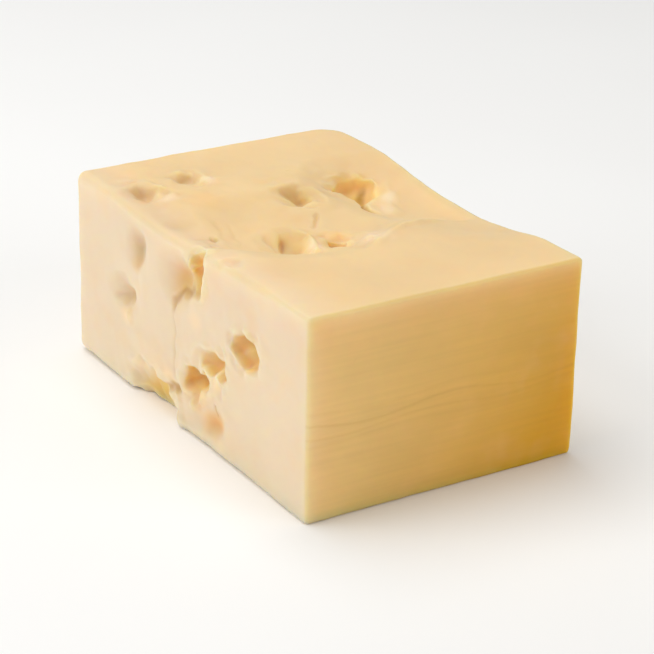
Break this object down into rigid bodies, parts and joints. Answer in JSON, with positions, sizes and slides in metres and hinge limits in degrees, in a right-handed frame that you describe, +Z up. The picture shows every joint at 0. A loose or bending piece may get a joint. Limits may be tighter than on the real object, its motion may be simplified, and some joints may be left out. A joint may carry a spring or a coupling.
{
  "type": "cut block of hard cheese with eyes",
  "caption": "Rectangular block of rindless hard cheese: one smooth fresh-cut end, one rounded loaf end, with gas eyes and shallow hollows in its outer faces.",
  "frame": {"origin": "middle of the footprint, on the surface that the block stands on", "axes": "+Z up, +Y along the length from the fresh-cut face towards the rounded loaf end, -X towards the most pitted side"},
  "size_m": [0.0982, 0.144, 0.064],
  "materials": {
    "cheese": "satin, slightly moist cheese paste"
  },
  "bodies": {
    "root": {"cheese_block": "cheese"}
  },
  "joints": []
}
